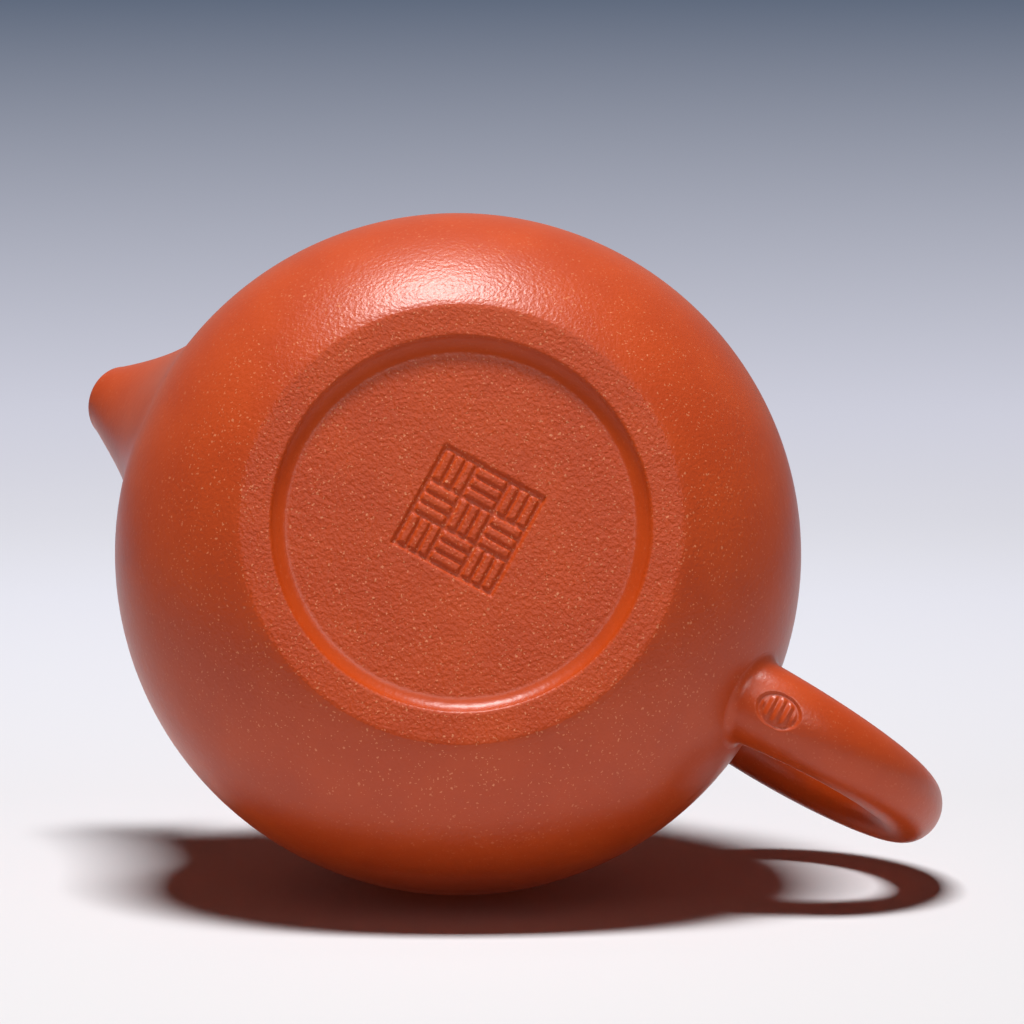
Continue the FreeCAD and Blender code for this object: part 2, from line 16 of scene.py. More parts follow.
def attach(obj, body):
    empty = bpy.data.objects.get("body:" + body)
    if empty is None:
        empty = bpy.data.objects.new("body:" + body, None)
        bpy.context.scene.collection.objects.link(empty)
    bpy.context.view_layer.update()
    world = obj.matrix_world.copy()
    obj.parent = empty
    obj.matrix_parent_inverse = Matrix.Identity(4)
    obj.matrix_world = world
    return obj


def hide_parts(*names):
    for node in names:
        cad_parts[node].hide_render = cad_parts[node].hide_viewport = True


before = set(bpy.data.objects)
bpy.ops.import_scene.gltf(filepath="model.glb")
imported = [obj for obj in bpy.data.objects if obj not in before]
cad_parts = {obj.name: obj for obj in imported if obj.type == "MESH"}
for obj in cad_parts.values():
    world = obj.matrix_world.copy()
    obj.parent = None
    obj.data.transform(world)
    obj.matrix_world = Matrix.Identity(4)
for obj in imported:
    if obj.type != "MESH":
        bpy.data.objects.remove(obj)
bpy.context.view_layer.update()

log = logging.getLogger("teapot")

MM = 0.001
TURN_STEPS = 256
KNOB_STEPS = 128
MERGE_GAP = 1e-6
SLIVER = 1e-7
CRISP_CREASE = 35.0
SOFT_CREASE = 60.0
NEARLY = 0.9
HALVINGS = 40
STATION_STEP = 0.05
ANGLE_STEP = 0.001
MIX_INPUTS = (6, 7)
MIX_OUTPUT = 2

Spot = tuple[float, float]
Colour = tuple[float, float, float]


class Body(Enum):
    """The bodies that pieces ride on."""

    POT = "pot"
    LID = "lid"


class Grain(Enum):
    """How far the clay's surface was worked."""

    BURNISHED = "burnished"
    SANDY = "sandy"
    PLAIN = "plain"


def smooth_step(low: float, high: float, value: float) -> float:
    """Ease from 0 at low to 1 at high."""
    share = min(max((value - low) / (high - low), 0.0), 1.0)
    return share * share * (3 - 2 * share)


def spread(start: float, end: float, count: int) -> list[float]:
    """Return evenly spaced values from start to end, both included."""
    return [start + (end - start) * number / (count - 1) for number in range(count)]


def arc(centre: Spot, radius: float, start: float, end: float, count: int) -> list[Spot]:
    """Return points along an arc.

    Args:
        centre: Radius and height of the arc's centre.
        radius: Radius of the arc.
        start: First angle in degrees.
        end: Last angle in degrees.
        count: Number of points.

    Returns:
        Radius and height of each point.
    """
    points = []
    for angle in spread(math.radians(start), math.radians(end), count):
        points.append((centre[0] + radius * math.cos(angle), centre[1] + radius * math.sin(angle)))
    return points


def single_out(piece: bpy.types.Object) -> None:
    """Make a piece the active one and the only selected one.

    Args:
        piece: The mesh object.
    """
    bpy.ops.object.select_all(action="DESELECT")
    piece.select_set(True)
    bpy.context.view_layer.objects.active = piece


@contextmanager
def editing(piece: bpy.types.Object) -> Iterator[None]:
    """Open a piece in edit mode with nothing selected, and leave edit mode afterwards.

    Args:
        piece: The mesh object.

    Returns:
        A context with the piece in edit mode.
    """
    single_out(piece)
    bpy.ops.object.mode_set(mode="EDIT")
    bpy.ops.mesh.select_all(action="DESELECT")
    yield
    bpy.ops.object.mode_set(mode="OBJECT")


def pick_faces(piece: bpy.types.Object, wanted: Callable[[Vector], bool]) -> None:
    """Select the faces whose centres pass a test, while the piece is in edit mode.

    Args:
        piece: The mesh object in edit mode.
        wanted: Test of a face's centre, in millimetres.
    """
    bpy.ops.mesh.select_mode(type="FACE")
    bpy.ops.mesh.select_all(action="DESELECT")
    bpy.ops.object.mode_set(mode="OBJECT")
    for face in piece.data.polygons:
        face.select = wanted(face.center / MM)
    bpy.ops.object.mode_set(mode="EDIT")


def close_up(piece: bpy.types.Object) -> None:
    """Merge doubled points and turn all faces outwards.

    Args:
        piece: The mesh object.
    """
    with editing(piece):
        bpy.ops.mesh.select_all(action="SELECT")
        bpy.ops.mesh.remove_doubles(threshold=MERGE_GAP)
        bpy.ops.mesh.dissolve_degenerate(threshold=SLIVER)
        bpy.ops.mesh.select_all(action="SELECT")
        bpy.ops.mesh.normals_make_consistent(inside=False)


def turn(name: str, profile: Sequence[Spot], steps: int = TURN_STEPS,
         closed: bool = True) -> bpy.types.Object:
    """Turn a profile round the pot's axis, as on a wheel.

    Args:
        name: Name of the new piece.
        profile: Radius and height of each point, in millimetres.
        steps: Number of steps in the whole turn.
        closed: Whether the last point joins the first.

    Returns:
        The turned piece.
    """
    bpy.ops.object.select_all(action="DESELECT")
    bpy.ops.mesh.primitive_circle_add(vertices=len(profile), radius=MM, fill_type="NOTHING")
    piece = bpy.context.object
    piece.name = name
    for vertex, (across, up) in zip(piece.data.vertices, profile):
        vertex.co = (across * MM, 0, up * MM)
    if not closed:
        ends = {0, len(profile) - 1}
        with editing(piece):
            bpy.ops.mesh.select_mode(type="EDGE")
            bpy.ops.object.mode_set(mode="OBJECT")
            for edge in piece.data.edges:
                edge.select = ends == set(edge.vertices)
            bpy.ops.object.mode_set(mode="EDIT")
            bpy.ops.mesh.delete(type="EDGE")
    with editing(piece):
        bpy.ops.mesh.select_all(action="SELECT")
        bpy.ops.mesh.spin(steps=steps, angle=math.tau, center=(0, 0, 0), axis=(0, 0, 1))
    close_up(piece)
    return piece


def wrap(name: str, rings: Sequence[Sequence[Vector]]) -> bpy.types.Object:
    """Roll a sheet into a tube through rings of points.

    Args:
        name: Name of the new piece.
        rings: Rings of equal length in millimetres. Each ring's first point is joined to its last.

    Returns:
        The tube.
    """
    bpy.ops.object.select_all(action="DESELECT")
    columns = len(rings[0])
    bpy.ops.mesh.primitive_grid_add(x_subdivisions=columns, y_subdivisions=len(rings) - 1, size=MM)
    piece = bpy.context.object
    piece.name = name
    places = []
    for ring in rings:
        for spot in (*ring, ring[0]):
            places.extend(spot * MM)
    piece.data.vertices.foreach_set("co", places)
    close_up(piece)
    return piece


def finish_piece(piece: bpy.types.Object, node: str, body: Body, clay: "ClayFinish",
                 crease: float = CRISP_CREASE) -> None:
    """Smooth a piece, give it its clay, and put it in the place of its solid.

    Args:
        piece: The finished mesh object.
        node: The solid that the piece stands for.
        body: The body that the piece rides on.
        clay: The finish of the clay.
        crease: Angle in degrees over which an edge stays sharp.
    """
    single_out(piece)
    bpy.ops.object.shade_smooth_by_angle(angle=math.radians(crease))
    piece.data.materials.clear()
    piece.data.materials.append(clay.material())
    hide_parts(node)
    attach(piece, body.value)
    log.info("%s: %d faces, in place of %s", piece.name, len(piece.data.polygons), node)


class Graph:
    """A material's node graph while it is wired."""

    def __init__(self, name: str) -> None:
        """Start an empty graph with an output node.

        Args:
            name: Name of the new material.
        """
        self.material = bpy.data.materials.new(name)
        self.material.use_nodes = True
        self.tree = self.material.node_tree
        self.tree.nodes.clear()
        self.output = self.tree.nodes.new("ShaderNodeOutputMaterial")

    def node(self, kind: str, feeds: dict[str, object] | None = None, **settings: object) -> bpy.types.Node:
        """Add a node.

        Args:
            kind: Type of the node, without its common prefix.
            feeds: Sockets or values for its inputs, by name.
            **settings: Properties of the node.

        Returns:
            The node.
        """
        made = self.tree.nodes.new("ShaderNode" + kind)
        for key, value in settings.items():
            setattr(made, key, value)
        for key, value in (feeds or {}).items():
            self.feed(made.inputs[key], value)
        return made

    def feed(self, socket: bpy.types.NodeSocket, value: object) -> None:
        """Link a socket to another one, or set its value.

        Args:
            socket: The input that is fed.
            value: A socket to link to it, or a plain value.
        """
        if isinstance(value, bpy.types.NodeSocket):
            self.tree.links.new(value, socket)
        else:
            socket.default_value = value

    def maths(self, operation: str, first: object, second: object = 0.0) -> bpy.types.NodeSocket:
        """Add a maths node and return its result.

        Args:
            operation: Name of the operation.
            first: First socket or number.
            second: Second socket or number.

        Returns:
            The result.
        """
        made = self.tree.nodes.new("ShaderNodeMath")
        made.operation = operation
        self.feed(made.inputs[0], first)
        self.feed(made.inputs[1], second)
        return made.outputs[0]

    def ease(self, value: object, low: float, high: float,
             start: float = 0.0, end: float = 1.0) -> bpy.types.NodeSocket:
        """Ease from start to end while a value goes from low to high.

        Args:
            value: The socket that is read.
            low: Value at which the result is start.
            high: Value at which the result is end.
            start: First result.
            end: Last result.

        Returns:
            The eased socket.
        """
        feeds = {"Value": value, "From Min": low, "From Max": high, "To Min": start, "To Max": end}
        return self.node("MapRange", feeds, interpolation_type="SMOOTHSTEP").outputs["Result"]

    def blend(self, share: object, first: object, second: object) -> bpy.types.NodeSocket:
        """Mix two colours by a share and return the mix.

        Args:
            share: How far the mix goes towards the second colour.
            first: First colour or socket.
            second: Second colour or socket.

        Returns:
            The mix.
        """
        made = self.node("Mix", data_type="RGBA")
        self.feed(made.inputs[0], share)
        for index, value in zip(MIX_INPUTS, (first, second)):
            self.feed(made.inputs[index], (*value, 1.0) if isinstance(value, tuple) else value)
        return made.outputs[MIX_OUTPUT]


@dataclass(frozen=True)
class Specks:
    """Pale grains in the clay.

    Attributes:
        spacing: Size of the cells that may hold a grain, in millimetres.
        radius: Largest radius of a grain, as a share of the spacing.
        share: Share of the cells that hold a grain.
        strength: How far a grain hides the clay.
        smallest: Smallest radius of a grain, as a share of the largest.
        firm: Share of a grain's radius at which it starts to fade out.
    """

    spacing: float
    radius: float
    share: float
    strength: float
    smallest: float = 0.45
    firm: float = 0.6

    def mask(self, graph: Graph, place: bpy.types.NodeSocket) -> bpy.types.NodeSocket:
        """Return a socket that is 1 in a grain and 0 in the clay.

        Args:
            graph: The graph that is wired.
            place: The socket with the place on the piece.

        Returns:
            The mask.
        """
        cells = graph.node("TexVoronoi", {"Vector": place, "Scale": 1 / (self.spacing * MM)}, feature="F1")
        draw = graph.node("SeparateColor", {"Color": cells.outputs["Color"]})
        reach = graph.ease(draw.outputs["Green"], 0.0, 1.0, self.smallest * self.radius, self.radius)
        depth = graph.maths("DIVIDE", cells.outputs["Distance"], reach)
        grain = graph.ease(depth, self.firm, 1.0, self.strength, 0.0)
        held = graph.maths("LESS_THAN", draw.outputs["Red"], self.share)
        return graph.maths("MULTIPLY", grain, held)


@dataclass(frozen=True)
class Ripple:
    """A noise in the clay.

    Attributes:
        size: Size of its features in millimetres.
        detail: Number of finer layers in it.
    """

    size: float
    detail: float

    def node(self, graph: Graph, place: bpy.types.NodeSocket) -> bpy.types.Node:
        """Return the noise's node, read at a place on the piece."""
        return graph.node("TexNoise", {"Vector": place, "Scale": 1 / (self.size * MM), "Detail": self.detail})


CLOUDING = Ripple(9.0, 4.0)
CLOUD_RANGE = (0.3, 0.7)
ORANGE_PEEL = Ripple(1.3, 2.0)
SAND = Ripple(0.45, 1.0)
STREWING = Ripple(0.4, 1.0)
STREW_REACH = 0.5
TOOLED_EDGE = (0.6, 1.3)
TOOLED_GRAIN = 0.12


@dataclass(frozen=True)
class ClayFinish:
    """Unglazed orange-red clay.

    Attributes:
        grain: How far the surface was worked.
        colour: Main colour.
        deep: Colour of the darker mottling.
        pale: Colour of the grains.
        coarse: The larger pale grains.
        fine: The small pale grains.
        roughness: Lowest and highest roughness.
        peel: Height of the orange-peel texture in millimetres.
        sand: Height of the sandy grain in millimetres.
        sandy_heights: Heights in millimetres between which the sandy grain fades out.
        smoothed: Share of the grain left above the sandy zone.
        tooled_ring: Radius and half width in millimetres of a ring that a tool has smoothed.
        gloss: Strength of the mirror reflection.
    """

    grain: Grain
    colour: Colour = (0.485, 0.055, 0.005)
    deep: Colour = (0.44, 0.046, 0.004)
    pale: Colour = (0.82, 0.33, 0.16)
    coarse: Specks = Specks(0.9, 0.22, 0.5, 0.45)
    fine: Specks = Specks(0.42, 0.34, 0.6, 0.4)
    roughness: Spot = (0.34, 0.38)
    peel: float = 0.03
    sand: float = 0.07
    sandy_heights: Spot = (1.0, 12.0)
    smoothed: float = 0.25
    tooled_ring: Spot = (0.0, 0.0)
    gloss: float = 0.46

    def material(self) -> bpy.types.Material:
        """Return the finish's material, wired on first use.

        Returns:
            The material.
        """
        name = f"clay_{self.grain.value}"
        known = bpy.data.materials.get(name)
        return known or self.wire(Graph(name))

    def wire(self, graph: Graph) -> bpy.types.Material:
        """Wire the material.

        Args:
            graph: An empty graph.

        Returns:
            The wired material.
        """
        place = graph.node("TexCoord").outputs["Object"]
        height = graph.node("SeparateXYZ", {"Vector": place}).outputs["Z"]
        grainy = graph.ease(height, *(limit * MM for limit in self.sandy_heights), 1.0, self.smoothed)
        if self.tooled_ring[1]:
            grainy = graph.maths("MULTIPLY", grainy, self.untooled(graph, place))
        cloud = CLOUDING.node(graph, place).outputs[0]
        peel = ORANGE_PEEL.node(graph, place).outputs[0]
        sand = SAND.node(graph, place).outputs[0]
        drift = STREWING.node(graph, place)
        strewn = graph.node("VectorMath", operation="MULTIPLY_ADD")
        for socket, value in zip(strewn.inputs, (drift.outputs["Color"], (STREW_REACH * MM,) * 3, place)):
            graph.feed(socket, value)
        coarse = graph.maths("MULTIPLY", self.coarse.mask(graph, strewn.outputs[0]), grainy)
        fine = graph.maths("MULTIPLY", self.fine.mask(graph, strewn.outputs[0]), grainy)
        tone = graph.blend(graph.ease(cloud, *CLOUD_RANGE), self.deep, self.colour)
        tone = graph.blend(fine, tone, self.pale)
        tone = graph.blend(coarse, tone, self.pale)
        grit = graph.maths("MULTIPLY", graph.maths("MULTIPLY", sand, self.sand), grainy)
        relief = graph.maths("ADD", graph.maths("MULTIPLY", peel, self.peel), grit)
        bumps = graph.node("Bump", {"Height": relief, "Distance": MM, "Strength": 1.0})
        shine = graph.ease(grainy, 0.0, 1.0, *self.roughness)
        shader = graph.node("BsdfPrincipled", {"Base Color": tone, "Roughness": shine,
                                               "Normal": bumps.outputs[0],
                                               "Specular IOR Level": self.gloss})
        graph.feed(graph.output.inputs["Surface"], shader.outputs[0])
        return graph.material

    def untooled(self, graph: Graph, place: bpy.types.NodeSocket) -> bpy.types.NodeSocket:
        """Return a socket that falls from 1 to a small share in the tooled ring.

        Args:
            graph: The graph that is wired.
            place: The socket with the place on the piece.

        Returns:
            The share of the grain that is left.
        """
        radius, half = (size * MM for size in self.tooled_ring)
        flat = graph.node("VectorMath", operation="MULTIPLY")
        graph.feed(flat.inputs[0], place)
        graph.feed(flat.inputs[1], (1.0, 1.0, 0.0))
        across = graph.node("VectorMath", operation="LENGTH")
        graph.feed(across.inputs[0], flat.outputs[0])
        offset = graph.maths("ABSOLUTE", graph.maths("SUBTRACT", across.outputs["Value"], radius))
        return graph.ease(offset, *(edge * half for edge in TOOLED_EDGE), TOOLED_GRAIN, 1.0)


BURNISHED = ClayFinish(Grain.BURNISHED)
SANDY = ClayFinish(Grain.SANDY, roughness=(0.30, 0.46), peel=0.05, sand=0.12, smoothed=1.0,
                   tooled_ring=(21.6, 1.1), gloss=0.28)
PLAIN = ClayFinish(Grain.PLAIN, roughness=(0.5, 0.6), smoothed=1.0)


@dataclass
class PotForm:
    """The outside of the pot below its mouth, as three arcs turned about the axis. Sizes in millimetres."""

    belly_radius: float = 42.0
    belly_height: float = 21.5
    hip_radius: float = 20.0
    underside_radius: float = 33.0
    foot_radius: float = 26.5
    foot_ease: float = 0.5
    foot_lift: float = 0.07
    rim_radius: float = 26.5
    rim_band: float = 1.0
    mouth_radius: float = 22.6
    mouth_height: float = 52.0
    seam_height: float = 47.5
    wall: float = 3.0
    hip_centre: Spot = field(init=False)
    under_centre: Spot = field(init=False)
    shoulder_centre: Spot = field(init=False)
    shoulder_radius: float = field(init=False)

    def __post_init__(self) -> None:
        """Work out the centres of the three arcs."""
        self.hip_centre = (self.belly_radius - self.hip_radius, self.belly_height)
        inset = self.belly_radius - self.rim_radius
        climb = self.mouth_height - self.rim_band - self.belly_height
        self.shoulder_radius = (inset ** 2 + climb ** 2) / (2 * inset)
        self.shoulder_centre = (self.belly_radius - self.shoulder_radius, self.belly_height)
        painted_falloff, far = self.underside_radius - self.hip_radius, self.underside_radius
        foot = (self.foot_radius, 0.0)
        span = math.dist(self.hip_centre, foot)
        along = (painted_falloff ** 2 - far ** 2 + span ** 2) / (2 * span)
        aside = math.sqrt(painted_falloff ** 2 - along ** 2)
        step = ((foot[0] - self.hip_centre[0]) / span, (foot[1] - self.hip_centre[1]) / span)
        self.under_centre = min((self.hip_centre[0] + along * step[0] - sign * aside * step[1],
                                 self.hip_centre[1] + along * step[1] + sign * aside * step[0])
                                for sign in (1, -1))

    @property
    def hip_angle(self) -> float:
        """Angle in degrees at which the underside passes into the hip."""
        across = self.hip_centre[0] - self.under_centre[0]
        return math.degrees(math.atan2(self.hip_centre[1] - self.under_centre[1], across))

    def shoulder_angle(self, height: float, depth: float = 0.0) -> float:
        """Angle in degrees at which the shoulder arc, a depth under the outside, reaches a height."""
        return math.degrees(math.asin((height - self.belly_height) / (self.shoulder_radius - depth)))

    def under_angle(self, across: float, depth: float = 0.0) -> float:
        """Angle in degrees at which the underside, a depth under the outside, reaches a radius."""
        return -math.degrees(math.acos((across - self.under_centre[0]) / (self.underside_radius - depth)))

    def wall_profile(self) -> list[Spot]:
        """Return the wall's closed section, from the foot up the outside and down the inside.

        Returns:
            Radius and height of each point.
        """
        turned = self.hip_angle
        foot = self.under_angle(self.foot_radius + self.foot_ease)
        seam = self.shoulder_angle(self.seam_height)
        points = [(self.foot_radius, self.foot_lift)]
        points += arc(self.under_centre, self.underside_radius, foot, turned, 28)
        points += arc(self.hip_centre, self.hip_radius, turned, 0, 30)[1:]
        points += arc(self.shoulder_centre, self.shoulder_radius, 0, seam, 44)[1:]
        top = self.shoulder_angle(self.seam_height, self.wall)
        points += arc(self.shoulder_centre, self.shoulder_radius - self.wall, top, 0, 26)
        points += arc(self.hip_centre, self.hip_radius - self.wall, 0, turned, 16)[1:]
        low = self.under_angle(self.foot_radius, self.wall)
        points += arc(self.under_centre, self.underside_radius - self.wall, turned, low, 14)[1:]
        return points

    def nearest_arc(self, across: float, up: float) -> tuple[Spot, float]:
        """Return the centre and the radius of the arc that faces a point.

        Args:
            across: Distance from the pot's axis.
            up: Height of the point.

        Returns:
            The arc's centre and its radius.
        """
        if up >= self.belly_height:
            return self.shoulder_centre, self.shoulder_radius
        angle = math.degrees(math.atan2(up - self.hip_centre[1], across - self.hip_centre[0]))
        if angle >= self.hip_angle:
            return self.hip_centre, self.hip_radius
        return self.under_centre, self.underside_radius

    def on_skin(self, side: float, up: float) -> Vector:
        """Return the point of the outside at a height, a distance beside the spout's middle.

        Args:
            side: Distance beside the middle.
            up: Height of the point.

        Returns:
            The point.
        """
        centre, radius = self.nearest_arc(self.belly_radius, up)
        across = centre[0] + math.sqrt(radius ** 2 - (up - centre[1]) ** 2)
        return Vector((side, -math.sqrt(across ** 2 - side ** 2), up))

    def height_over(self, spot: Vector) -> float:
        """Return how far a point lies outside the pot.

        Args:
            spot: The point.

        Returns:
            The distance, below 0 under the outside.
        """
        across = math.hypot(spot.x, spot.y)
        centre, radius = self.nearest_arc(across, spot.z)
        return math.dist((across, spot.z), centre) - radius

    def outward(self, spot: Vector) -> Vector:
        """Return the direction straight out of the pot at a point.

        Args:
            spot: The point.

        Returns:
            The direction.
        """
        across = math.hypot(spot.x, spot.y)
        centre, _ = self.nearest_arc(across, spot.z)
        slope = (across - centre[0]) / across
        return Vector((spot.x * slope, spot.y * slope, spot.z - centre[1])).normalized()


@dataclass
class Lute:
    """A root that is smoothed on to the pot with a rolled bead of slip.

    Attributes:
        form: The outside of the pot.
        bead: Radius of the bead in millimetres.
        rows: Number of points on the bead.
        sink: How far the last point goes under the pot's outside.
    """

    form: PotForm
    bead: float
    rows: int = 14
    sink: float = 0.5

    def root(self, surface: Callable[[float], Vector], normal: Callable[[float], Vector],
             start: float, end: float, steps: int) -> list[Vector]:
        """Follow one line of a surface to the pot and round the bead on to it.

        Args:
            surface: Point of the line at a station.
            normal: Outward direction of the surface at a station.
            start: Station away from the pot.
            end: Station inside the pot.
            steps: Number of points on the line before the bead.

        Returns:
            Points from the start to just under the pot's outside.
        """
        low, high = start, end
        for _ in range(HALVINGS):
            middle = (low + high) / 2
            if self.form.height_over(surface(middle) + normal(middle) * self.bead) > self.bead:
                low = middle
            else:
                high = middle
        points = [surface(station) for station in spread(start, low, steps)]
        centre = surface(low) + normal(low) * self.bead
        out = self.form.outward(centre)
        arms = (points[-1] - centre, out * -self.bead)
        turned = arms[0].angle(arms[1])
        for share in spread(0, 1, self.rows)[1:]:
            weights = (math.sin((1 - share) * turned), math.sin(share * turned))
            points.append(centre + (arms[0] * weights[0] + arms[1] * weights[1]) / math.sin(turned))
        ahead = (points[-1] - points[-2]).normalized()
        points.append(points[-1] + ahead * self.sink * 2 - out * self.sink)
        return points


@dataclass
class Vessel:
    """The pot's turned pieces: wall, base, shoulder and mouth ring. Sizes in millimetres."""

    form: PotForm
    base_height: float = 5.0
    recess_radius: float = 22.6
    recess_depth: float = 1.2
    recess_width: float = 2.4
    ring_round: float = 0.5
    edge_dip: float = 0.015
    mouth_ring_wall: float = 2.6
    mouth_ring_depth: float = 4.5
    edge_round: float = 0.3
    pour_radius: float = 6.4
    pour_steps: int = 96
    stamp_side: float = 13.5
    stamp_depth: float = 0.32
    stamp_groove: float = 0.55
    stamp_bar_rise: float = 0.9
    stamp_soft: float = 0.3
    stamp_cells: int = 3
    stamp_bars: int = 3
    stamp_sheet: float = 14.8
    stamp_place: Spot = (0.9, 0.5)
    stamp_grid: int = 96
    panel_ring: float = 13.0

    def build(self, spout: "Spout") -> None:
        """Build and dress the pieces.

        Args:
            spout: The spout, whose axis the pour hole follows.
        """
        finish_piece(self.wall(spout), "body_wall", Body.POT, BURNISHED)
        finish_piece(self.base(), "base_disc", Body.POT, SANDY, crease=SOFT_CREASE)
        finish_piece(self.shoulder(), "shoulder_disc", Body.POT, BURNISHED)
        finish_piece(self.mouth_ring(), "mouth_ring", Body.POT, PLAIN)

    def wall(self, spout: "Spout") -> bpy.types.Object:
        """Turn the wall and bore the pour hole along the spout's axis.

        Args:
            spout: The spout, whose axis the hole follows.

        Returns:
            The wall.
        """
        wall = turn("wall", self.form.wall_profile())
        bpy.ops.object.select_all(action="DESELECT")
        middle = (spout.at(0) + spout.at(spout.length)) / 2
        tilt = spout.inward.to_track_quat("Z", "Y").to_euler()
        bpy.ops.mesh.primitive_cylinder_add(vertices=self.pour_steps, radius=self.pour_radius * MM,
                                            depth=spout.length * MM, location=middle * MM, rotation=tilt)
        drill = bpy.context.object
        bored = wall.modifiers.new("pour_hole", "BOOLEAN")
        bored.operation = "DIFFERENCE"
        bored.solver = "EXACT"
        bored.object = drill
        single_out(wall)
        bpy.ops.object.modifier_apply(modifier=bored.name)
        bpy.data.objects.remove(drill, do_unlink=True)
        return wall

    def base_profile(self) -> list[Spot]:
        """Return the base's section, from the panel out to the foot, up its side and in to the axis.

        Returns:
            Radius and height of each point.
        """
        depth, width = self.recess_depth, self.recess_width
        foot, ease = self.form.foot_radius, self.form.foot_ease
        dish = (depth ** 2 + width ** 2) / (2 * depth)
        swing = math.degrees(2 * math.atan(depth / width))
        corner = self.recess_radius - width
        edge = self.ring_round * math.tan(math.radians(swing / 2))
        held = math.degrees(edge / dish)
        points = [(across, depth) for across in spread(self.panel_ring, corner, 10)]
        points += arc((corner, depth - dish), dish, 90, 90 - swing + held, 24)[1:]
        points += arc((self.recess_radius + edge, self.ring_round), self.ring_round, 270 - swing, 270, 8)
        points += [(across, 0.0) for across in spread(self.recess_radius + edge, foot - ease, 8)[1:]]
        points += [(foot - ease / 2, self.edge_dip), (foot, self.form.foot_lift)]
        points += [(foot, self.base_height), (self.panel_ring, self.base_height), (0.0, self.base_height)]
        return points

    def base(self) -> bpy.types.Object:
        """Turn the base, press the stamp in a fine square sheet and join the two.

        Returns:
            The base.
        """
        base = turn("base", self.base_profile(), steps=4 * self.stamp_grid, closed=False)
        sheet = self.stamp()
        single_out(base)
        sheet.select_set(True)
        bpy.ops.object.join()
        with editing(base):
            bpy.ops.mesh.select_mode(type="EDGE")
            bpy.ops.mesh.select_non_manifold()
            bpy.ops.mesh.bridge_edge_loops(number_cuts=6, interpolation="LINEAR", smoothness=0.0)
        close_up(base)
        return base

    def stamp(self) -> bpy.types.Object:
        """Press a sunk square with a basket weave of raised bars.

        Returns:
            The stamped sheet.
        """
        bpy.ops.object.select_all(action="DESELECT")
        bpy.ops.mesh.primitive_grid_add(x_subdivisions=self.stamp_grid, y_subdivisions=self.stamp_grid,
                                        size=self.stamp_sheet * MM)
        sheet = bpy.context.object
        for vertex in sheet.data.vertices:
            vertex.co.z = self.recess_depth * MM
        half = self.stamp_side / 2
        sunk = (0, 0, self.stamp_depth * MM)
        raised = (0, 0, -self.stamp_bar_rise * self.stamp_depth * MM)
        with editing(sheet):
            pick_faces(sheet, lambda spot: max(abs(spot.x), abs(spot.y)) < half)
            bpy.ops.mesh.extrude_region_move(TRANSFORM_OT_translate={"value": sunk})
            pick_faces(sheet, self.on_bar)
            bpy.ops.mesh.extrude_region_move(TRANSFORM_OT_translate={"value": raised})
            pick_faces(sheet, lambda spot: max(abs(spot.x), abs(spot.y)) < half + self.stamp_soft)
            bpy.ops.mesh.vertices_smooth(factor=0.5, repeat=3)
            bpy.ops.mesh.select_all(action="SELECT")
            bpy.ops.mesh.flip_normals()
            bpy.ops.transform.translate(value=(self.stamp_place[0] * MM, self.stamp_place[1] * MM, 0))
        return sheet

    def on_bar(self, spot: Vector) -> bool:
        """Tell whether a point of the sunk square lies on a raised bar.

        Args:
            spot: The point in millimetres.

        Returns:
            True on a bar.
        """
        half, groove = self.stamp_side / 2, self.stamp_groove
        pitch = (self.stamp_side - groove) / self.stamp_cells
        step = pitch / self.stamp_bars
        sunk = self.recess_depth + NEARLY * self.stamp_depth
        if max(abs(spot.x), abs(spot.y)) >= half or spot.z < sunk:
            return False
        across, along = spot.x + half - groove, spot.y + half - groove
        column, row = math.floor(across / pitch), math.floor(along / pitch)
        across, along = across - column * pitch, along - row * pitch
        if (column + row) % 2:
            across, along = along, across
        return column >= 0 and row >= 0 and 0 < across < pitch - groove and along % step < step - groove

    def shoulder(self) -> bpy.types.Object:
        """Turn the shoulder slab with its short upright band.

        Returns:
            The shoulder.
        """
        form = self.form
        bore = self.form.mouth_radius + self.mouth_ring_wall
        top = form.mouth_height
        low = form.shoulder_angle(form.seam_height)
        high = form.shoulder_angle(top - form.rim_band)
        points = arc(form.shoulder_centre, form.shoulder_radius, low, high, 14)
        points += arc((form.rim_radius - self.edge_round, top - self.edge_round), self.edge_round, 0, 90, 6)
        points += [(bore, top), (bore, form.seam_height)]
        return turn("shoulder", points)

    def mouth_ring(self) -> bpy.types.Object:
        """Turn the band that lines the mouth, with a softened upper edge.

        Returns:
            The band.
        """
        top = self.form.mouth_height
        low = top - self.mouth_ring_depth
        outside = self.form.mouth_radius + self.mouth_ring_wall
        soft = self.edge_round
        points = arc((self.form.mouth_radius + soft, top - soft), soft, 90, 180, 6)
        points += arc((self.form.mouth_radius + soft, low + soft), soft, 180, 270, 6)
        points += [(outside, low), (outside, top)]
        return turn("mouth_band", points)


